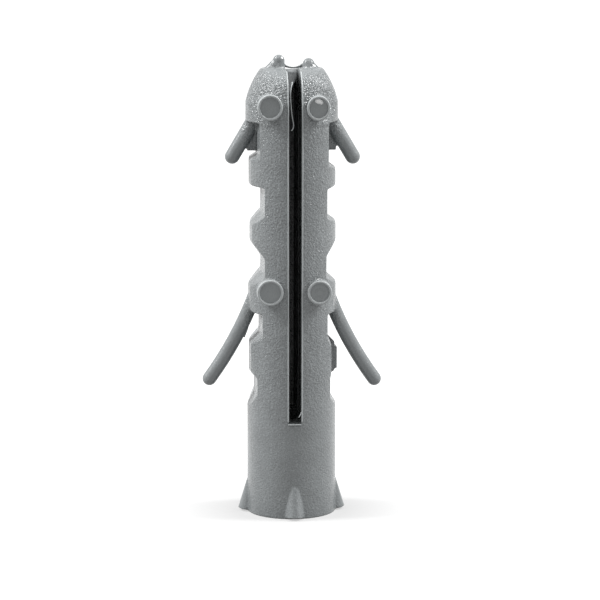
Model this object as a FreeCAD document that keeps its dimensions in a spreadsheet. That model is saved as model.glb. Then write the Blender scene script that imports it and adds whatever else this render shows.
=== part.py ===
import FreeCAD, Part
import math
import os
import re
import Sketcher

# Two-way expanding wall plug, 8 x 40, moulded in one piece.
# It stands on its mouth: Z runs from the mouth at 0 to the tip, the slot opens at the front (-Y),
# and the whiskers lie in the parting plane, which is the XZ plane.
# All lengths are in millimetres and all angles in degrees.
# Heights on the shank are stated as a chain of gaps and bands, from the head down on each side.

DRIVING_SIZES = {
    # Stem: the collar round the mouth, and the shank above it that the slot splits in two
    "collar_diameter": 7.9,
    "tip_height": 39.85,
    # Head, an oval ogive: proud of the shank at the sides, nearly level with it at the front
    "head_length": 4.75,
    "head_width": 8.2,
    "head_step": 0.03,
    "head_ledge_rise": 0.16,
    "shoulder_drop": 2.85,
    "shoulder_draw_in": 0.04,
    "crease_drop": 2.0,
    "crease_width": 7.66,
    "crease_depth": 7.66,
    "taper_drop": 0.95,
    "taper_width": 6.7,
    "taper_depth": 5.9,
    "tip_width": 5.46,
    "tip_depth": 2.6,
    # Necks, half widths from the axis to the floor of each side notch, from the head down
    "left_neck1": 3.15,
    "left_neck2": 2.8,
    "left_neck3": 2.8,
    "left_neck4": 2.95,
    "left_neck5": 3.37,
    "right_neck1": 3.26,
    "right_neck2": 3.15,
    "right_neck3": 3.09,
    "right_neck4": 3.2,
    "right_neck5": 3.46,
    # Bands between the notches, from the head down: the gap above, the length at the neck, how
    # far the top falls and the foot rises to the rim, the rim's distance from the axis and the
    # radius of its corners
    "left_gap1": 2.82,
    "left_band1_length": 2.88,
    "left_band1_fall": 0.3,
    "left_band1_rise": 0.15,
    "left_band1_reach": 3.82,
    "left_band1_round": 0.3,
    "left_gap2": 2.24,
    "left_band2_length": 3.91,
    "left_band2_fall": 0.96,
    "left_band2_rise": 1.35,
    "left_band2_reach": 3.75,
    "left_band2_round": 0.6,
    "left_gap3": 1.43,
    "left_band3_length": 3.72,
    "left_band3_fall": 1.15,
    "left_band3_rise": 0.15,
    "left_band3_reach": 3.88,
    "left_band3_round": 0.5,
    "left_gap4": 1.75,
    "left_band4_length": 3.95,
    "left_band4_fall": 0.85,
    "left_band4_rise": 0.45,
    "left_band4_reach": 3.82,
    "left_band4_round": 0.35,
    "left_gap5": 1.4,
    "right_gap1": 3.58,
    "right_band1_length": 2.27,
    "right_band1_fall": 0.45,
    "right_band1_rise": 0.25,
    "right_band1_reach": 3.88,
    "right_band1_round": 0.4,
    "right_gap2": 2.4,
    "right_band2_length": 3.45,
    "right_band2_fall": 0.5,
    "right_band2_rise": 1.25,
    "right_band2_reach": 3.91,
    "right_band2_round": 0.5,
    "right_gap3": 1.75,
    "right_band3_length": 3.6,
    "right_band3_fall": 0.75,
    "right_band3_rise": 0.15,
    "right_band3_reach": 3.94,
    "right_band3_round": 0.45,
    "right_gap4": 2.07,
    "right_band4_length": 3.58,
    "right_band4_fall": 0.7,
    "right_band4_rise": 0.25,
    "right_band4_reach": 3.88,
    "right_band4_round": 0.3,
    "right_gap5": 1.75,
    # Slope down to the collar under the lowest notch
    "left_collar_fall": 2.3,
    "right_collar_fall": 1.65,
    # The lowest band on the right is short on its front half and has a proud lip on its back half
    "short_band_reach": 3.54,
    "lip_reach": 4.09,
    "lip_depth": 1.2,
    "lip_top_margin": 0.45,
    "lip_foot_margin": 0.2,
    # Barbs in the uppermost notch, on the back half only
    "barb_drop": 2.55,
    "barb_reach": 3.88,
    "left_barb_length": 1.6,
    "left_barb_fall": 1.2,
    "right_barb_length": 1.65,
    "right_barb_fall": 1.0,
    # Notches are cut to a depth that clears the shank, with the mould's draft
    "notch_depth": 3.1,
    "notch_draft": 4.0,
    "notch_room": 0.5,
    # Screw hole, from the mouth up
    "mouth_bore_diameter": 4.8,
    "mouth_bore_depth": 8.0,
    "channel_diameter": 2.6,
    "funnel_depth": 6.0,
    "channel_roof": 1.65,
    "channel_point_length": 1.7,
    # Slot, which ends at a thin skin at the back
    "slot_foot": 8.8,
    "slot_foot_width": 1.12,
    "slot_tip_width": 1.17,
    "skin": 0.3,
    "skin_drop": 0.7,
    # Upper whiskers, straight rods
    "upper_whisker_diameter": 1.32,
    "upper_whisker_tilt": 30.5,
    "upper_whisker_length": 4.2,
    "left_upper_whisker_across": 5.26,
    "left_upper_whisker_drop": 3.06,
    "right_upper_whisker_across": 5.42,
    "right_upper_whisker_drop": 3.16,
    # Lower whiskers, bowed outward
    "lower_whisker_diameter": 1.27,
    "lower_whisker_tilt": 36.0,
    "lower_whisker_bow": 32.0,
    "lower_whisker_turn": 16.0,
    "left_lower_whisker_across": 7.33,
    "left_lower_whisker_drop": 6.0,
    "right_lower_whisker_across": 7.42,
    "right_lower_whisker_drop": 6.18,
    # Round pads where the ejector pins pushed, at the front of the head and of the third band
    "pad_across": 2.17,
    "upper_pad_rise": 1.73,
    "lower_pad_rise": 2.38,
    "left_pad_diameter": 2.34,
    "right_pad_diameter": 2.2,
    "pad_rim": 0.18,
    "pad_root": 1.6,
    "pad_proud": 0.03,
    "pad_dish": 0.12,
    # Gusset fins round the mouth
    "fin_height": 2.7,
    "fin_foot_width": 1.66,
    "fin_top_width": 0.8,
    "fin_foot_proud": 0.85,
    "fin_top_proud": 0.06,
    "fin_foot_gap": 0.13,
    # Nubs on the tip, one on each half, each with a round rib that leans on its outer side
    "nub_diameter": 1.05,
    "nub_root": 0.6,
    "left_nub_across": 1.14,
    "left_nub_height": 1.19,
    "right_nub_across": 1.49,
    "right_nub_height": 0.87,
    "nub_rib_diameter": 0.88,
    "nub_rib_tilt": 45.0,
    "nub_rib_length": 1.5,
}

FIN_COUNT = 4
BAND_COUNT = 4
SIDES = (("left", "-1 *"), ("right", "1 *"))
SMALLEST_CHANGE = 1e-6
SIDEWAYS = FreeCAD.Vector(0, 1, 0)
UPRIGHT = FreeCAD.Vector(0, 0, 1)

doc = FreeCAD.newDocument("wall_plug")
sheet = doc.addObject("Spreadsheet::Sheet", "Sizes")
body = doc.addObject("PartDesign::Body", "wall_plug")
body.Label = "wall_plug"
volumes = {}


def chained_heights():
    """Heights that follow from the chain of gaps and bands, as formulas over the driving sizes."""
    heights = {
        "head_foot": "tip_height - head_length",
        "shoulder_height": "tip_height - shoulder_drop",
        "crease_height": "tip_height - crease_drop",
        "taper_height": "tip_height - taper_drop",
        "channel_end": "tip_height - channel_roof - channel_point_length",
        "barb_foot": "head_foot - barb_drop",
    }
    for side, _ in SIDES:
        above = "head_foot"
        for index in range(1, BAND_COUNT + 1):
            band = f"{side}_band{index}"
            heights[f"{band}_top"] = f"{above} - {side}_gap{index}"
            heights[f"{band}_foot"] = f"{band}_top - {band}_length"
            above = f"{band}_foot"
        heights[f"{side}_collar_top"] = f"{above} - {side}_gap{BAND_COUNT + 1}"
    return heights


HEIGHTS = chained_heights()
for row, (alias, size) in enumerate(DRIVING_SIZES.items(), start=1):
    sheet.set(f"A{row}", alias.replace("_", " "))
    sheet.set(f"B{row}", str(size))
    sheet.setAlias(f"B{row}", alias)
for row, (alias, formula) in enumerate(HEIGHTS.items(), start=1):
    sheet.set(f"C{row}", alias.replace("_", " "))
    sheet.setAlias(f"D{row}", alias)
    sheet.set(f"D{row}", f"={formula}")
doc.recompute()


def number(formula):
    """The value that a formula over the sheet has now."""
    return float(sheet.evalExpression(formula))


def as_cell(word):
    """A word of a formula, written as a cell of the sheet where it names one."""
    is_size = word[0] in DRIVING_SIZES or word[0] in HEIGHTS
    return f"Sizes.{word[0]}" if is_size else word[0]


def sheet_names(formula):
    """Writes each size and height in a formula as a cell of the sheet."""
    return re.sub(r"[a-z]\w*", as_cell, formula)


def origin_item(role):
    """One of the body's own origin planes or axes."""
    return next(item for item in body.Origin.OriginFeatures if item.Role == role)


def new_sketch(name, role, lift="0", forward="0", across="0", tilt="0", about=SIDEWAYS):
    """A sketch on an origin plane, moved by formulas and tilted about one of the plane's own axes."""
    sketch = body.newObject("Sketcher::SketchObject", name)
    place_on(sketch, role, across, forward, lift, tilt, about)
    return sketch


def place_on(item, role, across, forward, lift, tilt, about=SIDEWAYS):
    """Attaches a feature to an origin plane, offset along that plane's own axes."""
    item.AttachmentSupport = (origin_item(role), [""])
    item.MapMode = "FlatFace"
    turned = FreeCAD.Rotation(about, number(sheet_names(tilt)))
    item.AttachmentOffset = FreeCAD.Placement(FreeCAD.Vector(0, 0, 0), turned)
    if tilt != "0":
        item.setExpression("AttachmentOffset.Rotation.Angle", sheet_names(tilt))
    for axis, formula in zip("xyz", (across, forward, lift)):
        if formula != "0":
            item.setExpression(f"AttachmentOffset.Base.{axis}", sheet_names(formula))


def point_at(across, up):
    """The point that a pair of formulas gives now."""
    return FreeCAD.Vector(number(sheet_names(across)), number(sheet_names(up)), 0)


def bind(sketch, dimensions):
    """Adds dimensions, each as (kind, places, formula), and ties them to their formulas."""
    first = sketch.ConstraintCount
    sketch.addConstraint([
        Sketcher.Constraint(kind, *places, number(sheet_names(formula)))
        for kind, places, formula in dimensions
    ])
    for index, (_, _, formula) in enumerate(dimensions, start=first):
        sketch.setExpression(f"Constraints[{index}]", sheet_names(formula))


def pin(geometry, point, across, up):
    """The two dimensions that hold a point of a sketch at a pair of formulas."""
    return [
        ("DistanceX", (-1, 1, geometry, point), across),
        ("DistanceY", (-1, 1, geometry, point), up),
    ]


def outline(sketch, corners):
    """Draws a closed run of straight lines through corners, each (across, up) or (across, up, radius)."""
    first = sketch.GeometryCount
    spots = [point_at(*corner[:2]) for corner in corners]
    starts = []
    stops = []
    arcs = []
    for index, (spot, corner) in enumerate(zip(spots, corners)):
        back = (spots[index - 1] - spot).normalize()
        ahead = (spots[(index + 1) % len(spots)] - spot).normalize()
        radius = number(sheet_names(corner[2])) if len(corner) > 2 else 0.0
        half_angle = back.getAngle(ahead) / 2
        reach = radius / math.tan(half_angle)
        stops.append(spot + back * reach)
        starts.append(spot + ahead * reach)
        if radius:
            middle = (back + ahead).normalize()
            centre = spot + middle * (radius / math.sin(half_angle))
            arcs.append((index, Part.Arc(stops[-1], centre - middle * radius, starts[-1])))
    ends = stops[1:] + stops[:1]
    sketch.addGeometry([Part.LineSegment(start, end) for start, end in zip(starts, ends)], False)
    lines = range(first, first + len(corners))
    rounded = {}
    for index, arc in arcs:
        rounded[index] = sketch.addGeometry(arc, False)
    rules = []
    sizes = []
    for index, corner in enumerate(corners):
        before = lines[index - 1]
        after = lines[index]
        if index not in rounded:
            rules.append(Sketcher.Constraint("Coincident", before, 2, after, 1))
            sizes += pin(after, 1, *corner)
            continue
        arc = rounded[index]
        mark = sketch.addGeometry(Part.Point(spots[index]), True)
        rules += join_arc(sketch, arc, before, after)
        rules.append(Sketcher.Constraint("PointOnObject", mark, 1, before))
        rules.append(Sketcher.Constraint("PointOnObject", mark, 1, after))
        sizes += pin(mark, 1, *corner[:2])
        sizes.append(("Radius", (arc,), corner[2]))
    sketch.addConstraint(rules)
    bind(sketch, sizes)


def join_arc(sketch, arc, before, after):
    """Rules that make an arc run smoothly out of one line and into the next."""
    near_first = sketch.getPoint(before, 2).distanceToPoint(sketch.getPoint(arc, 1))
    near_last = sketch.getPoint(before, 2).distanceToPoint(sketch.getPoint(arc, 2))
    entry, leave = (1, 2) if near_first < near_last else (2, 1)
    return [
        Sketcher.Constraint("Tangent", before, 2, arc, entry),
        Sketcher.Constraint("Tangent", after, 1, arc, leave),
    ]


def ring(sketch, across, up, diameter):
    """Draws a circle whose centre and diameter are formulas."""
    radius = number(sheet_names(diameter)) / 2
    circle = sketch.addGeometry(Part.Circle(point_at(across, up), UPRIGHT, radius), False)
    bind(sketch, [*pin(circle, 3, across, up), ("Diameter", (circle,), diameter)])


def oval(sketch, width, depth):
    """Draws an ellipse about the sketch's origin, its axes along the sketch's own."""
    side = FreeCAD.Vector(number(sheet_names(width)) / 2, 0, 0)
    front = FreeCAD.Vector(0, number(sheet_names(depth)) / 2, 0)
    is_wide = side.Length >= front.Length
    long_end, short_end = (side, front) if is_wide else (front, side * -1)
    ellipse = sketch.addGeometry(Part.Ellipse(long_end, short_end, FreeCAD.Vector(0, 0, 0)), False)
    sketch.exposeInternalGeometry(ellipse)
    long_axis = -1 if is_wide else -2
    sketch.addConstraint(Sketcher.Constraint("Coincident", ellipse, 3, -1, 1))
    sketch.addConstraint(Sketcher.Constraint("PointOnObject", ellipse + 1, 1, long_axis))
    lengths = (width, depth) if is_wide else (depth, width)
    bind(sketch, [("Distance", (ellipse + 1 + index,), length) for index, length in enumerate(lengths)])


def settle(feature, grows):
    """Makes a feature the body's tip and stops when it didn't grow or cut the solid as it should."""
    body.Tip = feature
    feature.Refine = False
    doc.recompute()
    volumes[feature.Name] = feature.Shape.Volume
    before = volumes[feature.BaseFeature.Name] if feature.BaseFeature else 0.0
    change = volumes[feature.Name] - before
    if abs(change) < SMALLEST_CHANGE or (change > 0) != grows:
        raise RuntimeError(f"{feature.Name} changed the volume by {change:.6f}")
    return feature


def revolve(kind, name, profile, angle="360", backward=False):
    """Turns a profile about its sketch's upright axis."""
    feature = body.newObject(f"PartDesign::{kind}", name)
    feature.Profile = profile
    feature.ReferenceAxis = (profile, ["V_Axis"])
    feature.Reversed = backward
    feature.setExpression("Angle", sheet_names(angle))
    return settle(feature, grows=kind == "Revolution")


def extrude(kind, name, profile, length, forward=True, draft=None):
    """Pads or pockets a profile along its plane's normal, forward being the normal's own way."""
    feature = body.newObject(f"PartDesign::{kind}", name)
    feature.Profile = profile
    feature.Type = "Length"
    feature.setExpression("Length", sheet_names(length))
    feature.Reversed = forward if kind == "Pocket" else not forward
    if draft:
        feature.setExpression("TaperAngle", sheet_names(draft))
    return settle(feature, grows=kind == "Pad")


def loft(kind, name, sections, straight=False):
    """Lofts through sketches, with flat or smooth sides."""
    feature = body.newObject(f"PartDesign::{kind}", name)
    feature.Profile = sections[0]
    feature.Sections = sections[1:]
    feature.Ruled = straight
    return settle(feature, grows=kind == "AdditiveLoft")


def domed_rod(name, across, height, tilt, diameter, length):
    """A round rod in the parting plane that leads away from its domed end, turned about its axis.

    The point is the dome's centre, and a rod of length 0 is the dome alone.
    """
    profile = new_sketch(f"{name}_profile", "XZ_Plane", across=across, forward=height, tilt=tilt,
                         about=UPRIGHT)
    radius = number(sheet_names(diameter)) / 2
    bow = Part.ArcOfCircle(Part.Circle(FreeCAD.Vector(0, 0, 0), UPRIGHT, radius), -math.pi / 2, 0)
    dome = profile.addGeometry(bow, False)
    spots = [(f"{diameter} / 2", "0")]
    if length != "0":
        spots += [(f"{diameter} / 2", length), ("0", length)]
    else:
        spots.append(("0", "0"))
    places = [point_at(*spot) for spot in spots] + [FreeCAD.Vector(0, -radius, 0)]
    lines = [Part.LineSegment(start, end) for start, end in zip(places, places[1:])]
    profile.addGeometry(lines, False)
    links = [Sketcher.Constraint("Coincident", dome, 2, dome + 1, 1)]
    links += [
        Sketcher.Constraint("Coincident", dome + index, 2, dome + index + 1, 1)
        for index in range(1, len(lines))
    ]
    links += [
        Sketcher.Constraint("Coincident", dome + len(lines), 2, dome, 1),
        Sketcher.Constraint("Coincident", dome, 3, -1, 1),
        Sketcher.Constraint("PointOnObject", dome, 1, -2),
    ]
    profile.addConstraint(links)
    bind(profile, [size for index, spot in enumerate(spots, start=1) for size in pin(dome + index, 1, *spot)])
    return revolve("Revolution", name, profile)


def rod(name, across, height, tilt, diameter, length):
    """A round rod that rises from a point in the parting plane."""
    feature = body.newObject("PartDesign::AdditiveCylinder", name)
    place_on(feature, "XY_Plane", across, "0", height, tilt)
    feature.setExpression("Radius", sheet_names(f"{diameter} / 2"))
    feature.setExpression("Height", sheet_names(length))
    return settle(feature, grows=True)


def make_stem():
    """The collar and shank, one cylinder up to the foot of the head."""
    rod("stem", "0", "0", "0", "collar_diameter", "head_foot")


def make_head():
    """The oval head: a nearly straight foot, a shoulder, then a smooth taper to the tip."""
    foot_depth = "collar_diameter + 2 * head_step"
    levels = (
        ("head_foot", "head_width", foot_depth),
        ("shoulder_height", "head_width - shoulder_draw_in", f"{foot_depth} - shoulder_draw_in"),
        ("crease_height", "crease_width", "crease_depth"),
        ("taper_height", "taper_width", "taper_depth"),
        ("tip_height", "tip_width", "tip_depth"),
    )
    sections = []
    for index, (height, width, depth) in enumerate(levels, start=1):
        section = new_sketch(f"head_section{index}", "XY_Plane", lift=height)
        oval(section, width, depth)
        sections.append(section)
    loft("AdditiveLoft", "head_block", sections[:2])
    loft("AdditiveLoft", "head_shoulder", sections[1:3])
    loft("AdditiveLoft", "head_taper", sections[2:])


def add_nubs():
    """A round nub on each half of the tip, with a rib that leans against it from outside."""
    for side, sign in SIDES:
        across = f"{sign} {side}_nub_across"
        crown = f"tip_height + {side}_nub_height - nub_diameter / 2"
        domed_rod(f"{side}_nub", across, crown, "180", "nub_diameter",
                  f"nub_root + {side}_nub_height - nub_diameter / 2")
        rod(f"{side}_nub_rib", across, crown, f"{sign} (180 - nub_rib_tilt)", "nub_rib_diameter",
            "nub_rib_length")


def add_fins():
    """Half-cone gussets round the mouth, leaning on the collar, their feet just off the wall."""
    foot_across = "collar_diameter / 2 + fin_foot_proud - fin_foot_width / 2"
    top_across = "(collar_diameter / 2 + fin_top_proud - fin_top_width / 2)"
    fin = body.newObject("PartDesign::AdditiveCone", "fin")
    place_on(fin, "XY_Plane", foot_across, "0", "fin_foot_gap",
             f"-1 * atan(({foot_across} - {top_across}) / fin_height)")
    fin.setExpression("Radius1", sheet_names("fin_foot_width / 2"))
    fin.setExpression("Radius2", sheet_names("fin_top_width / 2"))
    fin.setExpression("Height", sheet_names("fin_height"))
    settle(fin, grows=True)
    pattern = body.newObject("PartDesign::PolarPattern", "fins")
    pattern.Originals = [fin]
    pattern.Axis = (origin_item("Z_Axis"), [""])
    pattern.Angle = 360
    pattern.Occurrences = FIN_COUNT
    settle(pattern, grows=True)


def cut_screw_hole():
    """Straight in the collar, a funnel, a narrow channel, and a point under the tip."""
    profile = new_sketch("screw_hole_profile", "XZ_Plane")
    outline(profile, [
        ("0", "0"),
        ("mouth_bore_diameter / 2", "0"),
        ("mouth_bore_diameter / 2", "mouth_bore_depth"),
        ("channel_diameter / 2", "mouth_bore_depth + funnel_depth"),
        ("channel_diameter / 2", "channel_end"),
        ("0", "channel_end + channel_point_length"),
    ])
    revolve("Groove", "screw_hole", profile)


def cut_slot():
    """The slot from the front to a thin skin at the back, open above the skin at the tip."""
    skin_floor = "collar_diameter / 2 - skin"
    levels = (
        ("slot_foot", "slot_foot_width", skin_floor),
        ("crease_height", "slot_tip_width", "crease_depth / 2 - skin"),
        ("tip_height", "slot_tip_width", "tip_depth / 2 - skin"),
    )
    sections = []
    for index, (height, width, floor) in enumerate(levels, start=1):
        section = new_sketch(f"slot_section{index}", "XY_Plane", lift=height)
        outline(section, [
            (f"-1 * {width} / 2", "-1 * collar_diameter"),
            (f"{width} / 2", "-1 * collar_diameter"),
            (f"{width} / 2", floor),
            (f"-1 * {width} / 2", floor),
        ])
        sections.append(section)
    loft("SubtractiveLoft", "slot", sections, straight=True)
    gap = new_sketch("tip_gap_outline", "XZ_Plane")
    outline(gap, [
        ("-1 * slot_tip_width / 2", "tip_height - skin_drop"),
        ("slot_tip_width / 2", "tip_height - skin_drop"),
        ("slot_tip_width / 2", "tip_height + nub_diameter"),
        ("-1 * slot_tip_width / 2", "tip_height + nub_diameter"),
    ])
    extrude("Pocket", "tip_gap", gap, "collar_diameter", forward=False)


def band_corners(side, sign, index, reach):
    """Corners of one band at its two necks and its rounded rim, from the top down."""
    band = f"{side}_band{index}"
    return [
        (f"{sign} {side}_neck{index}", f"{band}_top"),
        (f"{sign} {reach}", f"{band}_top - {band}_fall", f"{band}_round"),
        (f"{sign} {reach}", f"{band}_foot + {band}_rise", f"{band}_round"),
        (f"{sign} {side}_neck{index + 1}", f"{band}_foot"),
    ]


def side_corners(side, sign, is_front):
    """Corners of all that one half lacks on one side, as one or two closed outlines."""
    far = f"{sign} (collar_diameter / 2 + notch_room)"
    neck = f"{sign} {side}_neck1"
    roof = [(far, "head_foot + head_ledge_rise"), (neck, "head_foot")]
    chain = []
    for index in range(1, BAND_COUNT + 1):
        is_short = is_front and side == "right" and index == BAND_COUNT
        reach = "short_band_reach" if is_short else f"{side}_band{index}_reach"
        chain += band_corners(side, sign, index, reach)
    chain += [
        (f"{sign} {side}_neck{BAND_COUNT + 1}", f"{side}_collar_top"),
        (far, f"{side}_collar_top - {side}_collar_fall"),
    ]
    if is_front:
        return [roof + chain]
    barb = (f"{sign} barb_reach", f"barb_foot + {side}_barb_length - {side}_barb_fall")
    above = roof + [(neck, f"barb_foot + {side}_barb_length"), barb, (far, barb[1])]
    below = [(far, "barb_foot"), (neck, "barb_foot")] + chain
    return [above, below]


def cut_notches():
    """Side notches, drawn in the parting plane and cut forward and back with draft."""
    for half, is_front in (("front", True), ("back", False)):
        for side, sign in SIDES:
            sketch = new_sketch(f"{half}_{side}_notches", "XZ_Plane")
            for corners in side_corners(side, sign, is_front):
                outline(sketch, corners)
            extrude("Pocket", f"{half}_{side}_notch_cut", sketch, "notch_depth", forward=is_front,
                    draft="notch_draft")


def add_lip():
    """The proud lip on the back half of the lowest band on the right."""
    lip = new_sketch("lip_outline", "XZ_Plane")
    outline(lip, [
        ("right_neck5", "right_band4_foot + right_band4_rise + lip_foot_margin"),
        ("lip_reach", "right_band4_foot + right_band4_rise + lip_foot_margin"),
        ("lip_reach", "right_band4_top - right_band4_fall - lip_top_margin"),
        ("right_neck5", "right_band4_top - right_band4_fall - lip_top_margin"),
    ])
    extrude("Pad", "lip", lip, "lip_depth", forward=False)


def add_whiskers():
    """Four rods with round ends in the parting plane, the lower ones bowed outward."""
    bow_across = "lower_whisker_bow * cos(lower_whisker_tilt * 1 deg)"
    bow_up = "lower_whisker_bow * sin(lower_whisker_tilt * 1 deg)"
    for side, sign in SIDES:
        turn = "1 *" if side == "left" else "-1 *"
        domed_rod(f"{side}_upper_whisker", f"{sign} {side}_upper_whisker_across",
                  f"head_foot - {side}_upper_whisker_drop", f"{sign} upper_whisker_tilt",
                  "upper_whisker_diameter", "upper_whisker_length")
        across = f"{side}_lower_whisker_across"
        height = f"{side}_band3_foot - {side}_lower_whisker_drop"
        section = new_sketch(f"{side}_lower_whisker_section", "XY_Plane", lift=f"{height} + {bow_up}",
                             across=f"{sign} ({across} + {bow_across})", tilt=f"{turn} lower_whisker_tilt")
        ring(section, f"{turn} lower_whisker_bow", "0", "lower_whisker_diameter")
        revolve("Revolution", f"{side}_lower_whisker", section, "lower_whisker_turn", backward=side == "left")
        domed_rod(f"{side}_lower_whisker_end", f"{sign} {across}", height, f"{sign} lower_whisker_tilt",
                  "lower_whisker_diameter", "0")


def add_pads():
    """Four dished pads on the front, drawn in the parting plane."""
    discs = new_sketch("pad_discs", "XZ_Plane", lift="pad_root")
    dishes = new_sketch("pad_dishes", "XZ_Plane", lift="collar_diameter / 2 + pad_proud")
    for side, sign in SIDES:
        for height in ("head_foot + upper_pad_rise", f"{side}_band3_foot + lower_pad_rise"):
            centre = (f"{sign} pad_across", height)
            ring(discs, *centre, f"{side}_pad_diameter")
            ring(dishes, *centre, f"{side}_pad_diameter - 2 * pad_rim")
    extrude("Pad", "pads", discs, "collar_diameter / 2 + pad_proud - pad_root")
    extrude("Pocket", "pad_hollows", dishes, "pad_dish", forward=False)


make_stem()
make_head()
add_nubs()
add_fins()
cut_screw_hole()
cut_slot()
cut_notches()
add_lip()
add_whiskers()
add_pads()
body.Tip.Refine = True
doc.recompute()

for item in doc.Objects:
    if "Invalid" in item.State or "Error" in item.State:
        raise RuntimeError(f"{item.Name} failed: {item.State}")
shape = body.Shape
if shape.isNull() or not shape.isValid() or len(shape.Solids) != 1:
    raise RuntimeError("wall_plug is not one valid solid")
os.makedirs("parts", exist_ok=True)
shape.exportStep("parts/wall_plug.step")
print("volume", round(shape.Volume, 2), "faces", len(shape.Faces), "box", shape.BoundBox)
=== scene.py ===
"""Dresses the moulded wall plug and sets it up for its studio picture."""
import logging
import math
from dataclasses import dataclass, field
from enum import Enum
from functools import partial, reduce

import bmesh
import bpy
import numpy as np
from mathutils import Matrix, Vector
from mathutils.bvhtree import BVHTree


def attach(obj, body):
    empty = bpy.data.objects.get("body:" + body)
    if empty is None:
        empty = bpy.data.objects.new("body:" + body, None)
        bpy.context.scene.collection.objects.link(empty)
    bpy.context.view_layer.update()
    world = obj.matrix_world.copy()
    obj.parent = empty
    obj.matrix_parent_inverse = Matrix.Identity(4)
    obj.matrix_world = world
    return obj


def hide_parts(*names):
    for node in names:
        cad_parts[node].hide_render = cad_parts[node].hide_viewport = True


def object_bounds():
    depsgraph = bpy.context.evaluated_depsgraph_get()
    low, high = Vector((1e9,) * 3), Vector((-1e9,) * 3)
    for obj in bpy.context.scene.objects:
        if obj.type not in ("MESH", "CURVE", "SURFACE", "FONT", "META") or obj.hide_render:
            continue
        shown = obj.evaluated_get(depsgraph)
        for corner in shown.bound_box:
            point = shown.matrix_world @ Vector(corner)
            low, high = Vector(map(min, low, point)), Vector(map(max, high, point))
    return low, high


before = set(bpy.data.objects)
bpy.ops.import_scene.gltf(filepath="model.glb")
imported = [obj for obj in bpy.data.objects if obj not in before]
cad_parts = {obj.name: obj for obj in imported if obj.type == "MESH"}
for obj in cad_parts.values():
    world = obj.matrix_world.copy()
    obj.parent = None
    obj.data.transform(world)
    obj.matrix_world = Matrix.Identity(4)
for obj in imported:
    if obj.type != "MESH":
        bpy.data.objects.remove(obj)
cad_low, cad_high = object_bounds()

LOG = logging.getLogger("wall_plug")
MM = 0.001
NODE = "wall_plug"
BODY = "root"

PLUG_LENGTH = cad_high[2] / MM
SLOT_FOOT = 8.8
SLOT_FOOT_HALF = 0.56
FACE_DEPTH = -3.98
VIEW_AZIMUTH = -4.5

Point = tuple[float, float, float]
Colour = tuple[float, float, float]
Ring = list[bmesh.types.BMVert]


class Grain(Enum):
    """How thick the mould's grain lies: pairs of height in millimetres and level."""

    MOULDED = ((0.0, 0.34), (8.5, 0.34), (12.0, 0.56), (33.0, 0.62), (37.0, 1.0), (39.3, 1.0), (39.75, 0.3))
    PIN_MARK = ((0.0, 0.1), (PLUG_LENGTH, 0.16))
    THIN_EDGE = ((0.0, 0.12), (PLUG_LENGTH, 0.12))


def show(item: bpy.types.Object) -> bpy.types.Object:
    """Puts an object in the scene.

    Args:
        item: The object to show.

    Returns:
        The same object.
    """
    bpy.context.scene.collection.objects.link(item)
    return item


def finish_piece(piece: bpy.types.Object, material: bpy.types.Material) -> bpy.types.Object:
    """Gives a piece its material and seats it on the plug's body.

    Args:
        piece: The piece to dress.
        material: What it is made of.

    Returns:
        The same piece.
    """
    piece.data.materials.clear()
    piece.data.materials.append(material)
    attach(piece, BODY)
    LOG.info("%s: %d faces", piece.name, len(piece.data.polygons))
    return piece


def smooth_faces(mesh: bpy.types.Mesh) -> None:
    """Shades a mesh smoothly."""
    mesh.polygons.foreach_set("use_smooth", np.ones(len(mesh.polygons), bool))


def dress(name: str, shape: bmesh.types.BMesh, material: bpy.types.Material) -> bpy.types.Object:
    """Turns a finished shape into a smooth piece of the plug.

    Args:
        name: The piece's name.
        shape: The shape, in metres, which is freed.
        material: What it is made of.

    Returns:
        The piece.
    """
    mesh = bpy.data.meshes.new(name)
    shape.to_mesh(mesh)
    shape.free()
    smooth_faces(mesh)
    return finish_piece(show(bpy.data.objects.new(name, mesh)), material)


def lay_ring(shape: bmesh.types.BMesh, middle: Vector, aside: Vector, above: Vector, sectors: int) -> Ring:
    """Lays a ring of points round a middle. Sizes in millimetres.

    Args:
        shape: The shape that takes the points.
        middle: The ring's middle.
        aside: The step from the middle to the first point.
        above: The step from the middle to the point a quarter turn on.
        sectors: How many points the ring has.

    Returns:
        The ring's points.
    """
    ring = []
    for sector in range(sectors):
        turn = math.tau * sector / sectors
        place = middle + math.cos(turn) * aside + math.sin(turn) * above
        ring.append(shape.verts.new(place * MM))
    return ring


def join_rings(shape: bmesh.types.BMesh, rings: list[Ring]) -> None:
    """Lays the wall between each ring and the next, which may be a single point.

    Args:
        shape: The shape that holds the rings.
        rings: The rings in their order.
    """
    for first, second in zip(rings, rings[1:]):
        for sector in range(len(first)):
            after = (sector + 1) % len(first)
            if len(second) == 1:
                shape.faces.new((first[sector], first[after], second[0]))
            else:
                shape.faces.new((first[sector], first[after], second[after], second[sector]))


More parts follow.
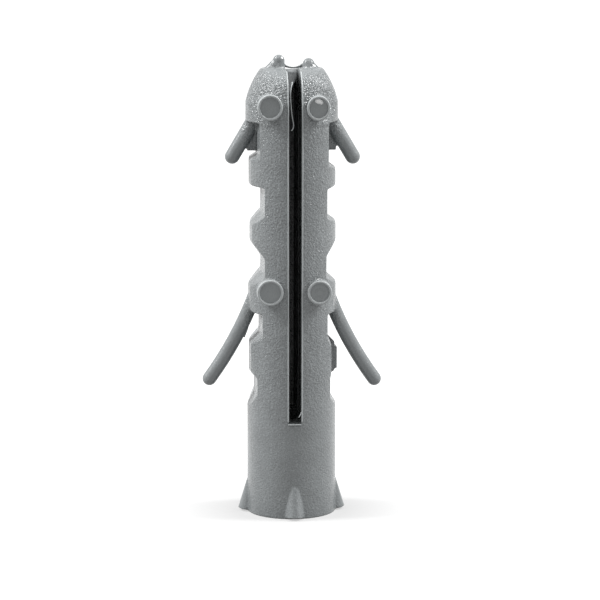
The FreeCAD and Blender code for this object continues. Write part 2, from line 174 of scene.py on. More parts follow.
class NodeBench:
    """Builds one material's nodes with short calls."""

    def __init__(self, material: bpy.types.Material | bpy.types.World) -> None:
        """Clears the material and keeps its tree.

        Args:
            material: The material or world to build.
        """
        material.use_nodes = True
        self.tree = material.node_tree
        self.tree.nodes.clear()

    def add(self, kind: str, settings: dict[str, object] | None = None, **inputs: object) -> bpy.types.Node:
        """Adds a node.

        Args:
            kind: The node's type, without the word ShaderNode.
            settings: Properties of the node itself.
            **inputs: A value or an output socket for each input, named with _ for a space.

        Returns:
            The new node.
        """
        node = self.tree.nodes.new(f"ShaderNode{kind}")
        for name, value in (settings or {}).items():
            setattr(node, name, value)
        for name, value in inputs.items():
            self.join(value, node.inputs[name.replace("_", " ")])
        return node

    def join(self, value: object, socket: bpy.types.NodeSocket) -> None:
        """Links an output to an input, or sets the input.

        Args:
            value: An output socket or a plain value.
            socket: The input.
        """
        if isinstance(value, bpy.types.NodeSocket):
            self.tree.links.new(value, socket)
        else:
            socket.default_value = value

    def sums(self, operation: str, first: object, second: object) -> bpy.types.NodeSocket:
        """One step of arithmetic.

        Args:
            operation: What the step does, such as MULTIPLY.
            first: Its first value or socket.
            second: Its second value or socket.

        Returns:
            The result's socket.
        """
        node = self.add("Math", {"operation": operation})
        self.join(first, node.inputs[0])
        self.join(second, node.inputs[1])
        return node.outputs[0]

    def product(self, *factors: object) -> bpy.types.NodeSocket:
        """Multiplies values or sockets, from the first to the last."""
        return reduce(partial(self.sums, "MULTIPLY"), factors)

    def total(self, *parts: object) -> bpy.types.NodeSocket:
        """Adds values or sockets, from the first to the last."""
        return reduce(partial(self.sums, "ADD"), parts)

    def slope(self, value: bpy.types.NodeSocket, start: float, end: float,
              low: float = 0.0, high: float = 1.0) -> bpy.types.NodeSocket:
        """Turns a value into another along a straight slope with level ends.

        Args:
            value: The socket to read.
            start: Where the slope starts.
            end: Where it ends.
            low: The level up to its start.
            high: The level past its end.

        Returns:
            The level's socket.
        """
        node = self.add("MapRange", Value=value, From_Min=start, From_Max=end, To_Min=low, To_Max=high)
        return node.outputs[0]

    def ramp(self, value: bpy.types.NodeSocket,
             stops: tuple[tuple[float, float], ...]) -> bpy.types.NodeSocket:
        """Turns a value from 0 to 1 into another by a run of stops.

        Args:
            value: The socket to read.
            stops: Pairs of place and level.

        Returns:
            The level's socket.
        """
        node = self.add("ValToRGB")
        band = node.color_ramp
        while len(band.elements) < len(stops):
            band.elements.new(1.0)
        for element, (place, level) in zip(band.elements, stops):
            element.position = place
            element.color = (level, level, level, 1.0)
        self.join(value, node.inputs[0])
        return node.outputs["Color"]


@dataclass(frozen=True)
class PaintedSlotShade:
    """Painted shade: how much darker the colour is deep in the slot, where the walls lie in shade. Sizes in
    millimetres.
    """

    shade: float = 0.35
    half_width: float = 0.66
    wall: float = 0.04
    front_depth: float = -3.75
    fade_depth: float = 0.5
    fade_foot: float = 39.0
    fade_top: float = 39.6

    def level(self, bench: NodeBench, across: bpy.types.NodeSocket,
              apart: bpy.types.Node) -> bpy.types.NodeSocket:
        """Builds the shade.

        Args:
            bench: The tree to build in.
            across: How far each point is from the middle.
            apart: The node that splits each point's place.

        Returns:
            A socket that is 1 outside the slot and the painted shade inside it.
        """
        between = bench.slope(across, self.half_width, self.half_width + self.wall, 1.0, 0.0)
        behind = bench.slope(apart.outputs["Y"], self.front_depth, self.front_depth + self.fade_depth)
        below = bench.slope(apart.outputs["Z"], self.fade_foot, self.fade_top, 1.0, 0.0)
        return bench.sums("SUBTRACT", 1.0, bench.product(between, behind, below, 1.0 - self.shade))


@dataclass(frozen=True)
class ErodedPlastic:
    """Grey plastic with the grain of a spark-eroded mould, and painted glints in its colour.

    The grain lies thick on the head, thinner on the shank and faint on the collar and the whiskers, which
    start past the shank's reach. Sizes are in millimetres.
    """

    name: str = "plug_plastic"
    colour: Colour = (0.2, 0.213, 0.217)
    grain: Grain = Grain.MOULDED
    roughness: float = 0.22
    mottle: float = 0.3
    painted_slot_shade: PaintedSlotShade | None = None
    grain_size: float = 0.13
    grain_depth: float = 0.11
    grain_detail: float = 1.0
    grain_edge: float = 0.6
    crater_scale: float = 0.6
    crater_blend: float = 0.6
    crater_share: float = 0.6
    wave_size: float = 1.6
    wave_detail: float = 2.0
    wave_edge: float = 0.5
    wave_gloss: float = 0.2
    noise_middle: float = 0.5
    speck: float = 1.9
    painted_glint: float = 0.22
    painted_glint_start: float = 0.58
    painted_glint_full: float = 0.68
    shank_reach: float = 4.05
    whisker_start: float = 4.55
    whisker_grain: float = 0.25
    whisker_gloss_loss: float = 0.14

    def material(self) -> bpy.types.Material:
        """Builds the material.

        Returns:
            The grained plastic.
        """
        made = bpy.data.materials.new(self.name)
        bench = NodeBench(made)
        place = bench.add("TexCoord").outputs["Object"]
        spot = bench.add("VectorMath", {"operation": "SCALE"}, Vector=place, Scale=1 / MM).outputs[0]
        apart = bench.add("SeparateXYZ", Vector=spot)
        across = bench.sums("ABSOLUTE", apart.outputs["X"], 0.0)
        shank = bench.slope(across, self.shank_reach, self.whisker_start, 1.0, self.whisker_grain)
        stops = tuple((height / PLUG_LENGTH, level) for height, level in self.grain.value)
        grain = bench.product(bench.ramp(bench.sums("DIVIDE", apart.outputs["Z"], PLUG_LENGTH), stops), shank)
        fine = bench.add("TexNoise", Vector=spot, Scale=1 / self.grain_size, Detail=self.grain_detail,
                         Roughness=self.grain_edge).outputs["Fac"]
        waves = bench.add("TexNoise", Vector=spot, Scale=1 / self.wave_size, Detail=self.wave_detail,
                          Roughness=self.wave_edge).outputs["Fac"]
        swell = bench.sums("SUBTRACT", waves, self.noise_middle)
        speck = bench.product(bench.sums("SUBTRACT", fine, self.noise_middle), grain, self.speck)
        # Painted glints: sparse bright specks added to the colour where the fine noise peaks.
        painted_glint = bench.product(bench.slope(fine, self.painted_glint_start, self.painted_glint_full), grain, self.painted_glint)
        level = bench.total(bench.product(swell, self.mottle), speck, painted_glint, 1.0)
        # Painted shade: the colour darkens deep inside the slot.
        if self.painted_slot_shade is not None:
            level = bench.product(level, self.painted_slot_shade.level(bench, across, apart))
        whiskers = bench.product(bench.sums("SUBTRACT", 1.0, shank), self.whisker_gloss_loss)
        gloss = bench.total(self.roughness, whiskers, bench.product(swell, self.wave_gloss))
        shader = bench.add("BsdfPrincipled", Base_Color=self.tone(bench, level), Roughness=gloss,
                           Normal=self.relief(bench, spot, fine, grain))
        bench.add("OutputMaterial", Surface=shader.outputs[0])
        return made

    def tone(self, bench: NodeBench, level: bpy.types.NodeSocket) -> bpy.types.NodeSocket:
        """Lightens and darkens the colour.

        Args:
            bench: The tree to build in.
            level: How light each point is, 1 for the plain colour.

        Returns:
            The colour's socket.
        """
        mix = bench.add("Mix", {"data_type": "RGBA", "blend_type": "MULTIPLY"}, Factor=1.0)
        colours = [socket for socket in mix.inputs if socket.type == "RGBA"]
        bench.join((*self.colour, 1.0), colours[0])
        bench.join(level, colours[1])
        return next(socket for socket in mix.outputs if socket.type == "RGBA")

    def relief(self, bench: NodeBench, spot: bpy.types.NodeSocket, fine: bpy.types.NodeSocket,
               grain: bpy.types.NodeSocket) -> bpy.types.NodeSocket:
        """Raises the grain from the surface.

        Args:
            bench: The tree to build in.
            spot: Each point's place, in millimetres.
            fine: The fine noise.
            grain: How thick the grain lies.

        Returns:
            The socket of the bent normals.
        """
        craters = bench.add("TexVoronoi", {"feature": "SMOOTH_F1"}, Vector=spot,
                            Scale=self.crater_scale / self.grain_size, Smoothness=self.crater_blend)
        height = bench.total(fine, bench.product(craters.outputs["Distance"], self.crater_share))
        bump = bench.add("Bump", Height=bench.product(height, grain), Strength=1.0,
                         Distance=self.grain_depth * MM)
        return bump.outputs["Normal"]


# The body's plastic darkens its colour deep in the slot as painted shade.
BODY_PLASTIC = ErodedPlastic(painted_slot_shade=PaintedSlotShade())
FILM_PLASTIC = ErodedPlastic("film_plastic", (0.19, 0.2, 0.205), Grain.THIN_EDGE, 0.4)
PIN_FACE_PLASTIC = ErodedPlastic("pin_mark_plastic", (0.25, 0.266, 0.27), Grain.PIN_MARK, 0.34, 0.4)
# A paler colour for the slot beads and pin-mark rims: a painted highlight where they catch the light.
EDGE_HIGHLIGHT_PLASTIC = ErodedPlastic("edge_highlight_plastic", (0.38, 0.4, 0.404), Grain.THIN_EDGE, 0.4, 0.2)
# A pale colour for the torn film's edge and the burr: a painted highlight where these thin edges catch the
# light.
TORN_EDGE_HIGHLIGHT_PLASTIC = ErodedPlastic("torn_edge_highlight_plastic", (0.6, 0.63, 0.635), Grain.THIN_EDGE, 0.45, 0.2)
# A near-white colour that paints a highlight.
PAINTED_HIGHLIGHT_PLASTIC = ErodedPlastic("painted_highlight_plastic", (0.96, 0.97, 0.97), Grain.THIN_EDGE, 0.25, 0.1)


@dataclass
class Finishes:
    """The plug's plastic in every state that shows on it, with the paler colours that paint highlights, each
    built once.
    """

    body: bpy.types.Material = field(default_factory=BODY_PLASTIC.material)
    film: bpy.types.Material = field(default_factory=FILM_PLASTIC.material)
    pin_face: bpy.types.Material = field(default_factory=PIN_FACE_PLASTIC.material)
    edge: bpy.types.Material = field(default_factory=EDGE_HIGHLIGHT_PLASTIC.material)
    # The pale colour of the torn edge and the burr is a painted highlight.
    torn: bpy.types.Material = field(default_factory=TORN_EDGE_HIGHLIGHT_PLASTIC.material)
    painted_highlight: bpy.types.Material = field(default_factory=PAINTED_HIGHLIGHT_PLASTIC.material)


@dataclass(frozen=True)
class DomedTip:
    """How far the head's tip is fuller from front to back than the solid's. Millimetres and shares."""

    heights: tuple[float, ...] = (37.0, 37.85, 38.4, 38.9, 39.3, 39.6, 39.85, 40.1, 40.35)
    shares: tuple[float, ...] = (1.0, 0.985, 1.04, 1.11, 1.18, 1.26, 1.36, 1.15, 1.0)

    def shape(self, points: np.ndarray) -> None:
        """Fills out the tip.

        Args:
            points: The moulding's points, which are changed.
        """
        points[:, 1] *= np.interp(points[:, 2], self.heights, self.shares)


@dataclass(frozen=True)
class FootBevel:
    """The wide bevel at the slot's foot. Sizes in millimetres."""

    drop: float = 0.3
    back_depth: float = -3.5
    front_depth: float = -3.92
    edge_start: float = SLOT_FOOT_HALF + 0.02
    edge_end: float = SLOT_FOOT_HALF + 0.16
    low_end: float = SLOT_FOOT - 0.55
    low_full: float = SLOT_FOOT - 0.1
    high_full: float = SLOT_FOOT + 0.1
    high_end: float = SLOT_FOOT + 0.25

    def shape(self, points: np.ndarray) -> None:
        """Bends the front of the slot's floor down.

        Args:
            points: The moulding's points, which are changed.
        """
        forward = np.interp(points[:, 1], (self.front_depth, self.back_depth), (1.0, 0.0))
        within = np.interp(np.abs(points[:, 0]), (self.edge_start, self.edge_end), (1.0, 0.0))
        heights = (self.low_end, self.low_full, self.high_full, self.high_end)
        beside = np.interp(points[:, 2], heights, (0.0, 1.0, 1.0, 0.0))
        points[:, 2] -= self.drop * forward * within * beside


@dataclass(frozen=True)
class SlimFin:
    """The front fin at the mouth, drawn in towards its ridge. Millimetres and shares."""

    half_width: float = 1.3
    top: float = 2.9
    share: float = 0.82
    root_depth: float = FACE_DEPTH
    full_depth: float = -4.25

    def shape(self, points: np.ndarray) -> None:
        """Slims the fin.

        Args:
            points: The moulding's points, which are changed.
        """
        forward = np.interp(points[:, 1], (self.full_depth, self.root_depth), (1.0, 0.0))
        here = (np.abs(points[:, 0]) < self.half_width) & (points[:, 2] < self.top)
        points[:, 0] *= 1 - (1 - self.share) * forward * here


@dataclass(frozen=True)
class PinMark:
    """One ejector pin's mark: a disc on the moulding, with a crisp raised rim round a shallow dish.

    The solid's disc, at cad_across and cad_height, moves to the mark's place and shrinks to fit under it.
    Sizes are in millimetres.
    """

    name: str
    cad_across: float
    cad_height: float
    across: float
    height: float
    diameter: float
    disc_width_share: float
    disc_height_share: float
    narrowing: float = 1.0
    swirl_height: float = 0.0
    swirl_pace: float = 9.0
    disc_reach: float = 1.22
    pull_reach: float = 1.7
    pull_front: float = -1.5
    pull_back: float = -0.9
    plane: float = FACE_DEPTH
    rim: float = 0.24
    rim_rise: float = 0.13
    rim_steps: int = 12
    skirt: float = 0.5
    dish: float = 0.08
    dish_wall: float = 0.01
    dish_wall_share: float = 0.8
    dish_corner: float = 0.05
    dish_crown: float = 0.03
    dish_rings: int = 8
    sectors: int = 128

    def shape(self, points: np.ndarray) -> None:
        """Moves the solid's disc to the mark, and less and less what lies round it.

        Args:
            points: The moulding's points, which are changed.
        """
        away = np.hypot(points[:, 0] - self.cad_across, points[:, 2] - self.cad_height)
        pull = np.interp(away, (self.disc_reach, self.pull_reach), (1.0, 0.0))
        pull *= np.interp(points[:, 1], (self.pull_front, self.pull_back), (1.0, 0.0))
        for axis, old, new, share in ((0, self.cad_across, self.across, self.disc_width_share),
                                      (2, self.cad_height, self.height, self.disc_height_share)):
            wanted = new + (points[:, axis] - old) * share
            points[:, axis] += pull * (wanted - points[:, axis])

    def profile(self) -> list[tuple[float, float]]:
        """The mark's section: pairs of radius and rise, from the skirt over the rim to the middle.

        Returns:
            The section's points.
        """
        edge = self.diameter / 2
        bead = self.rim / 2
        base = self.rim_rise - bead
        inner = edge - self.rim
        floor = inner - self.dish_corner
        run = [(edge, -self.skirt), (edge, base)]
        for step in range(1, self.rim_steps):
            turn = math.pi * step / self.rim_steps
            run.append((edge - bead + bead * math.cos(turn), base + bead * math.sin(turn)))
        run.append((inner, base))
        run.append((inner - self.dish_wall, -self.dish * self.dish_wall_share))
        run.append((floor, -self.dish))
        for step in range(1, self.dish_rings + 1):
            share = 1 - step / self.dish_rings
            swirl = self.swirl_height * math.sin(self.swirl_pace * floor * share / inner)
            run.append((floor * share, -self.dish + self.dish_crown * (1 - share * share) + swirl))
        return run

    def build(self, finishes: Finishes) -> bpy.types.Object:
        """Turns the section round the mark's axis.

        Args:
            finishes: The plug's materials.

        Returns:
            The mark's face.
        """
        shape = bmesh.new()
        rings = []
        for radius, rise in self.profile():
            middle = Vector((self.across, self.plane - rise, self.height))
            aside = Vector((self.narrowing * radius, 0.0, 0.0))
            above = Vector((0.0, 0.0, radius))
            rings.append(lay_ring(shape, middle, aside, above, self.sectors if radius else 1))
        join_rings(shape, rings)
        bmesh.ops.recalc_face_normals(shape, faces=shape.faces)
        piece = dress(self.name, shape, finishes.pin_face)
        # The rim takes the paler edge colour, a painted highlight.
        piece.data.materials.append(finishes.edge)
        kinds = np.zeros(len(piece.data.polygons), dtype=np.int32)
        skirt_end = self.sectors
        rim_end = (self.rim_steps + 2) * self.sectors
        kinds[skirt_end:rim_end] = 1
        piece.data.polygons.foreach_set("material_index", kinds)
        return piece


PIN_MARKS = (
    PinMark("pin_mark_upper_left", -2.17, 36.83, -2.185, 36.83, 2.3, 0.88, 0.92, narrowing=0.96),
    PinMark("pin_mark_upper_right", 2.17, 36.83, 2.06, 36.75, 2.22, 0.86, 0.92, narrowing=0.93),
    PinMark("pin_mark_lower_left", -2.17, 20.48, -2.175, 20.475, 2.33, 0.94, 0.94),
    PinMark("pin_mark_lower_right", 2.17, 20.43, 2.19, 20.45, 2.17, 0.93, 0.94, swirl_height=0.03),
)


@dataclass
class MouldedPlug:
    """The whole moulding: the plug's solid with the soft edges that a mould leaves. Sizes in millimetres."""

    finishes: Finishes
    tip: DomedTip = DomedTip()
    bevel: FootBevel = FootBevel()
    fin: SlimFin = SlimFin()
    marks: tuple[PinMark, ...] = PIN_MARKS
    grid: float = 0.07
    quick_grid: float = 0.14
    soft_rounds: int = 3
    soft_share: float = 0.5
    face_limit: int = 195_000

    def build(self) -> bpy.types.Object:
        """Makes the moulding from a copy of the CAD solid.

        Returns:
            The piece that stands for the CAD solid.
        """
        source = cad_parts[NODE]
        solid = show(bpy.data.objects.new("plug_moulding", source.data.copy()))
        solid.data.transform(Matrix.Scale(1 / MM, 4))
        grid = solid.modifiers.new("grid", "REMESH")
        grid.mode = "VOXEL"
        grid.voxel_size = self.grid
        soften = solid.modifiers.new("soft_edges", "SMOOTH")
        soften.factor = self.soft_share
        soften.iterations = self.soft_rounds
        self.settle(solid)
        self.thin_out(solid)
        flat = np.empty(3 * len(solid.data.vertices))
        solid.data.vertices.foreach_get("co", flat)
        points = flat.reshape(-1, 3)
        for form in (self.tip, self.bevel, self.fin, *self.marks):
            form.shape(points)
        solid.data.vertices.foreach_set("co", (points * MM).ravel())
        smooth_faces(solid.data)
        solid.data.update()
        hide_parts(NODE)
        return finish_piece(solid, self.finishes.body)

    def settle(self, solid: bpy.types.Object) -> None:
        """Applies the moulding's modifiers to its mesh.

        Args:
            solid: The moulding.
        """
        view = bpy.context.evaluated_depsgraph_get()
        made = bpy.data.meshes.new_from_object(solid.evaluated_get(view))
        solid.modifiers.clear()
        solid.data = made

    def thin_out(self, solid: bpy.types.Object) -> None:
        """Brings the moulding under its limit of faces.

        Args:
            solid: The moulding.
        """
        count = sum(len(face.vertices) - 2 for face in solid.data.polygons)
        if count > self.face_limit:
            thin = solid.modifiers.new("thin", "DECIMATE")
            thin.ratio = self.face_limit / count
            self.settle(solid)


@dataclass
class Thread:
    """A thread or bead of plastic along a run of points, each with its own radius. Sizes in millimetres."""

    name: str
    material: bpy.types.Material
    run: list[Point] | tuple[Point, ...]
    radii: list[float] | tuple[float, ...]
    steps: int = 3
    sectors: int = 10

    def centres(self) -> tuple[np.ndarray, np.ndarray]:
        """Smooths the run.

        Returns:
            The centres and the radii along the thread.
        """
        run = np.array(self.run)
        places = np.linspace(0, len(run) - 1, (len(run) - 1) * self.steps + 1)
        whole = np.arange(len(run))
        smooth = np.stack([np.interp(places, whole, run[:, axis]) for axis in range(3)], axis=1)
        for _ in range(self.steps):
            smooth[1:-1] = (smooth[:-2] + 2 * smooth[1:-1] + smooth[2:]) / 4
        return smooth, np.interp(places, whole, np.array(self.radii))

    def build(self) -> bpy.types.Object:
        """Makes the thread with closed ends.

        Returns:
            The thread.
        """
        centres, radii = self.centres()
        shape = bmesh.new()
        rings = []
        for index, (centre, radius) in enumerate(zip(centres, radii)):
            after = centres[min(index + 1, len(centres) - 1)]
            before = centres[max(index - 1, 0)]
            ahead = Vector(after - before).normalized()
            aside = ahead.cross(Vector((0.0, 1.0, 0.0))).normalized()
            above = ahead.cross(aside)
            wide = float(radius)
            rings.append(lay_ring(shape, Vector(centre), wide * aside, wide * above, self.sectors))
        join_rings(shape, rings)
        shape.faces.new(rings[0][::-1])
        shape.faces.new(rings[-1])
        bmesh.ops.recalc_face_normals(shape, faces=shape.faces)
        return dress(self.name, shape, self.material)


@dataclass
class SlotEdges:
    """The thin raised bead that the mould leaves along the slot's front edge, in a paler colour that is a
    painted highlight.
    """

    finishes: Finishes
    top: float = 39.72
    top_half: float = 0.585
    left_aside: float = 0.015
    right_aside: float = 0.085
    surface_aside: float = 0.12
    sink: float = 0.01
    radius: float = 0.065
    foot_drop: float = 0.22
    foot_surface_drop: float = 0.32
    foot_points: int = 13
    spacing: float = 0.25
    steps: int = 2
    start: float = 20.0

    def half_width(self, height: float) -> float:
        """Half the slot's width at a height."""
        share = (height - SLOT_FOOT) / (self.top - SLOT_FOOT)
        return SLOT_FOOT_HALF + (self.top_half - SLOT_FOOT_HALF) * share

    def surface(self, tree: BVHTree, across: float, height: float) -> float:
        """Finds the moulding's front.

        Args:
            tree: The moulding's faces.
            across: How far right of the middle.
            height: How far up.

        Returns:
            The depth of the front there.
        """
        hit = tree.ray_cast(Vector((across, -self.start, height)) * MM, Vector((0.0, 1.0, 0.0)))
        return hit[0].y / MM if hit[0] is not None else 0.0

    def bead(self, name: str, run: list[Point]) -> bpy.types.Object:
        """Lays one bead of even thickness."""
        # The bead takes the paler edge colour, a painted highlight.
        return Thread(name, self.finishes.edge, run, [self.radius] * len(run), self.steps).build()

    def side_bead(self, tree: BVHTree, name: str, sign: int, aside: float) -> bpy.types.Object:
        """Lays the bead of one side.

        Args:
            tree: The moulding's faces.
            name: The piece's name.
            sign: -1 for the left side and 1 for the right side.
            aside: How far the bead lies from the slot's wall.

        Returns:
            The bead.
        """
        count = int((self.top - SLOT_FOOT) / self.spacing) + 1
        run = []
        for index in range(count):
            height = SLOT_FOOT + (self.top - SLOT_FOOT) * index / (count - 1)
            depth = self.surface(tree, sign * (self.half_width(height) + self.surface_aside), height)
            run.append((sign * (self.half_width(height) + aside), depth - self.sink, height))
        return self.bead(name, run)

    def foot_bead(self, tree: BVHTree) -> bpy.types.Object:
        """Lays the bead across the slot's foot.

        Args:
            tree: The moulding's faces.

        Returns:
            The bead.
        """
        depth = self.surface(tree, 0.0, SLOT_FOOT - self.foot_surface_drop) - self.sink
        reach = SLOT_FOOT_HALF + self.left_aside
        places = np.linspace(-reach, reach, self.foot_points)
        return self.bead("slot_bead_foot", [(place, depth, SLOT_FOOT - self.foot_drop) for place in places])

    def build(self, moulding: bpy.types.Object) -> list[bpy.types.Object]:
        """Lays the beads on the moulding.

        Args:
            moulding: The piece that carries them.

        Returns:
            The beads at the left, the right and the foot.
        """
        tree = BVHTree.FromPolygons([point.co for point in moulding.data.vertices],
                                    [tuple(face.vertices) for face in moulding.data.polygons])
        return [self.side_bead(tree, "slot_bead_left", -1, self.left_aside),
                self.side_bead(tree, "slot_bead_right", 1, self.right_aside),
                self.foot_bead(tree)]


@dataclass
class TornFilm:
    """The thin film left between the halves at the tip, torn free on its right. Sizes in millimetres.

    Each row holds a height, a depth and the place of the film's right end.
    """

    finishes: Finishes
    rows: tuple[tuple[float, float, float], ...] = (
        (39.65, 1.2, 0.62), (39.42, 0.9, 0.62), (39.2, 0.5, 0.56), (38.95, 0.2, 0.45), (38.62, -0.2, 0.26),
        (38.4, -0.7, 0.08), (38.2, -1.2, -0.06), (38.0, -1.7, -0.22), (37.8, -2.0, -0.27))
    left: float = -0.62
    bulge: float = 0.12
    columns: int = 8
    thickness: float = 0.05

    def build(self) -> bpy.types.Object:
        """Makes the film.

        Returns:
            The film.
        """
        shape = bmesh.new()
        grid = []
        for height, depth, right in self.rows:
            line = []
            for column in range(self.columns + 1):
                share = column / self.columns
                across = self.left + (right - self.left) * share
                forward = self.bulge * math.sin(math.pi * share)
                line.append(shape.verts.new(Vector((across, depth - forward, height)) * MM))
            grid.append(line)
        for first, second in zip(grid, grid[1:]):
            for column in range(self.columns):
                shape.faces.new((first[column], second[column], second[column + 1], first[column + 1]))
        bmesh.ops.recalc_face_normals(shape, faces=shape.faces)
        bmesh.ops.solidify(shape, geom=shape.faces[:], thickness=self.thickness * MM)
        return dress("torn_film", shape, self.finishes.film)


@dataclass
class MouldFlash:
    """The strand and the film at the tip, and the burr, the painted highlight on a pin mark and the flash
    lower down.

    Runs of points, and radii, are in millimetres.
    """

    finishes: Finishes
    strand: tuple[Point, ...] = (
        (-0.68, 0.6, 40.05), (-0.56, 0.6, 40.0), (-0.364, 0.6, 39.9), (-0.099, 0.6, 39.83),
        (0.166, 0.6, 39.8), (0.431, 0.6, 39.82), (0.696, 0.6, 39.9), (0.917, 0.6, 40.0), (1.04, 0.6, 40.06))
    strand_radii: tuple[float, ...] = (0.2, 0.14, 0.1, 0.08, 0.075, 0.08, 0.1, 0.14, 0.2)
    strand_steps: int = 6
    film_edge: tuple[Point, ...] = (
        (-0.17, -2.8, 38.9), (-0.25, -3.0, 38.6), (-0.333, -3.2, 38.3), (-0.367, -3.2, 37.91),
        (-0.35, -3.2, 37.56), (-0.325, -3.2, 37.2), (-0.29, -3.2, 36.68), (-0.24, -3.2, 36.15),
        (-0.14, -3.2, 35.62), (-0.06, -3.2, 35.18), (-0.12, -3.2, 34.85), (-0.28, -3.2, 34.7))
    film_edge_radius: float = 0.05
    burr: tuple[Point, ...] = (
        (0.62, -3.85, 9.75), (0.53, -3.9, 9.55), (0.46, -3.9, 9.42), (0.36, -3.9, 9.26))
    burr_radii: tuple[float, ...] = (0.05, 0.045, 0.04, 0.03)
    # A pale blob in the upper right pin mark's dish: a painted highlight.
    spot: tuple[Point, ...] = (
        (1.72, -3.86, 37.38), (1.9, -3.82, 37.4), (2.08, -3.8, 37.36), (2.26, -3.82, 37.27),
        (2.4, -3.86, 37.12))
    painted_highlight_radii: tuple[float, ...] = (0.12, 0.24, 0.28, 0.23, 0.12)
    whisker_run: tuple[Point, ...] = (
        (-3.9, -0.25, 16.72), (-4.05, -0.25, 16.42), (-4.19, -0.25, 16.12), (-4.3, -0.25, 15.86))
    whisker_radii: tuple[float, ...] = (0.06, 0.09, 0.11, 0.12)

    def build(self) -> None:
        """Lays each thread of flash and the film."""
        made = self.finishes
        Thread("tip_strand", made.body, self.strand, self.strand_radii, self.strand_steps).build()
        TornFilm(made).build()
        edge_radii = [self.film_edge_radius] * len(self.film_edge)
        # The torn edge and the burr take the pale colour, a painted highlight.
        Thread("torn_film_edge", made.torn, self.film_edge, edge_radii).build()
        Thread("slot_burr", made.torn, self.burr, self.burr_radii).build()
        # The pale blob is a painted highlight on the pin mark.
        Thread("pin_mark_painted_highlight", made.painted_highlight, self.spot, self.painted_highlight_radii).build()
        Thread("whisker_flash", made.body, self.whisker_run, self.whisker_radii).build()


def direction(azimuth: float, elevation: float) -> Vector:
    """The way from the plug to something round it.

    Args:
        azimuth: Degrees round the plug, 0 in front and 90 on the right.
        elevation: Degrees above the floor.

    Returns:
        A vector of length 1.
    """
    turn, rise = math.radians(azimuth), math.radians(elevation)
    return Vector((math.sin(turn) * math.cos(rise), -math.cos(turn) * math.cos(rise), math.sin(rise)))


@dataclass(frozen=True)
class SoftBox:
    """A studio light with a wide soft face, aimed at the plug's middle. Sizes in metres."""

    name: str
    azimuth: float
    elevation: float
    power: float
    width: float
    height: float
    distance: float = 0.45
    aim_height: float = 0.022

    def build(self) -> bpy.types.Object:
        """Makes the light.

        Returns:
            The light.
        """
        lamp = bpy.data.lights.new(self.name, "AREA")
        lamp.shape = "RECTANGLE"
        lamp.size = self.width
        lamp.size_y = self.height
        lamp.energy = self.power
        light = show(bpy.data.objects.new(self.name, lamp))
        aim = Vector((0, 0, self.aim_height))
        light.location = aim + self.distance * direction(self.azimuth, self.elevation)
        light.rotation_euler = (aim - light.location).to_track_quat("-Z", "Y").to_euler()
        return light


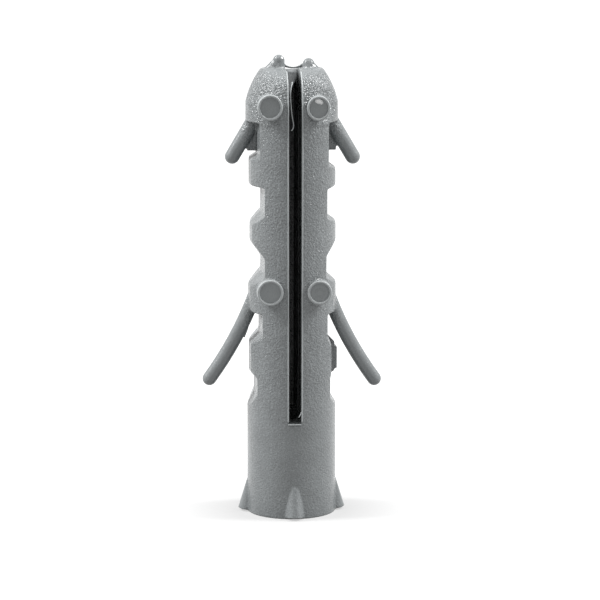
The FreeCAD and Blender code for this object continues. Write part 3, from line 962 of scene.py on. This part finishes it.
@dataclass
class Studio:
    """The white floor, the pale room and the soft lights. Sizes in metres."""

    lights: tuple[SoftBox, ...] = (
        SoftBox("left_softbox", azimuth=-94.0, elevation=44.0, power=2.5, width=0.12, height=0.18),
        SoftBox("right_softbox", azimuth=90.0, elevation=43.0, power=2.35, width=0.12, height=0.18),
        SoftBox("top_softbox", azimuth=VIEW_AZIMUTH, elevation=80.0, power=0.3, width=0.2, height=0.2),
    )
    ambient: float = 0.52
    floor_size: float = 3.0
    floor_tone: float = 0.2
    painted_shade_lift: float = 0.56
    far_lift: float = 0.95
    near: float = 0.005
    far: float = 0.016

    def build(self) -> None:
        """Sets up the room, the floor and the lights."""
        self.light_room()
        self.lay_floor()
        for light in self.lights:
            light.build()

    def seen_rays(self, bench: NodeBench) -> bpy.types.NodeSocket:
        """Tells rays that show the background from those that light the plug.

        Args:
            bench: The tree to build in.

        Returns:
            A socket that is 1 for camera, glossy and transmission rays.
        """
        path = bench.add("LightPath")
        seen = bench.sums("MAXIMUM", path.outputs["Is Camera Ray"], path.outputs["Is Glossy Ray"])
        return bench.sums("MAXIMUM", seen, path.outputs["Is Transmission Ray"])

    def light_room(self) -> None:
        """Makes the room white to the eye and dimmer as a light."""
        world = bpy.data.worlds.new("white_room")
        bpy.context.scene.world = world
        bench = NodeBench(world)
        seen = self.seen_rays(bench)
        spare = bench.product(bench.sums("SUBTRACT", 1.0, seen), self.ambient)
        glow = bench.add("Background", Color=(1.0, 1.0, 1.0, 1.0), Strength=bench.total(seen, spare))
        bench.add("OutputWorld", Surface=glow.outputs[0])

    def lay_floor(self) -> None:
        """Lays the floor, which keeps the plug's shadow."""
        mesh = bpy.data.meshes.new("floor")
        shape = bmesh.new()
        bmesh.ops.create_grid(shape, x_segments=1, y_segments=1, size=self.floor_size / 2)
        shape.to_mesh(mesh)
        shape.free()
        mesh.materials.append(self.floor_paint())
        show(bpy.data.objects.new("floor", mesh))

    def floor_paint(self) -> bpy.types.Material:
        """Builds the floor's paint, which the eye sees as white away from the plug and as a painted shade, a
        dimmer glow, close round it.

        Returns:
            The paint.
        """
        paint = bpy.data.materials.new("floor_white")
        bench = NodeBench(paint)
        matt = bench.add("BsdfDiffuse", Color=(self.floor_tone, self.floor_tone, self.floor_tone, 1.0))
        place = bench.add("TexCoord").outputs["Object"]
        away = bench.add("VectorMath", {"operation": "LENGTH"}, Vector=place).outputs["Value"]
        # Painted shade: the floor's glow is dimmer near the plug.
        level = bench.slope(away, self.near, self.far, self.painted_shade_lift, self.far_lift)
        lift = bench.add("Emission", Strength=bench.product(self.seen_rays(bench), level))
        both = bench.add("AddShader")
        bench.join(matt.outputs[0], both.inputs[0])
        bench.join(lift.outputs[0], both.inputs[1])
        bench.add("OutputMaterial", Surface=both.outputs[0])
        return paint


@dataclass
class PhotoCamera:
    """The camera at the photo's view. Sizes in metres, angles in degrees."""

    azimuth: float = VIEW_AZIMUTH
    distance: float = 0.298
    height: float = 0.0741
    aim_height: float = 0.0191
    aim_right: float = 0.00076
    field_of_view: float = 10.071
    roll: float = 0.075
    nearest: float = 0.01
    farthest: float = 20.0

    def build(self) -> bpy.types.Object:
        """Makes the camera and gives it to the scene.

        Returns:
            The camera.
        """
        lens = bpy.data.cameras.new("photo_camera")
        lens.angle = math.radians(self.field_of_view)
        lens.clip_start = self.nearest
        lens.clip_end = self.farthest
        camera = show(bpy.data.objects.new("photo_camera", lens))
        camera.location = self.distance * direction(self.azimuth, 0.0) + Vector((0, 0, self.height))
        right = direction(self.azimuth + 90.0, 0.0)
        aim = self.aim_right * right + Vector((0, 0, self.aim_height))
        level = (aim - camera.location).to_track_quat("-Z", "Y").to_matrix().to_4x4()
        tilted = level @ Matrix.Rotation(math.radians(self.roll), 4, "Z")
        camera.rotation_euler = tilted.to_euler()
        bpy.context.scene.camera = camera
        return camera


def main() -> None:
    """Builds the plug's pieces, the studio and the camera in order."""
    logging.basicConfig(level=logging.INFO, format="%(name)s: %(message)s")
    bpy.context.scene.view_settings.view_transform = "Standard"
    finishes = Finishes()
    moulding = MouldedPlug(finishes).build()
    for mark in PIN_MARKS:
        mark.build(finishes)
    SlotEdges(finishes).build(moulding)
    MouldFlash(finishes).build()
    Studio().build()
    PhotoCamera().build()


if __name__ == "__main__":
    main()
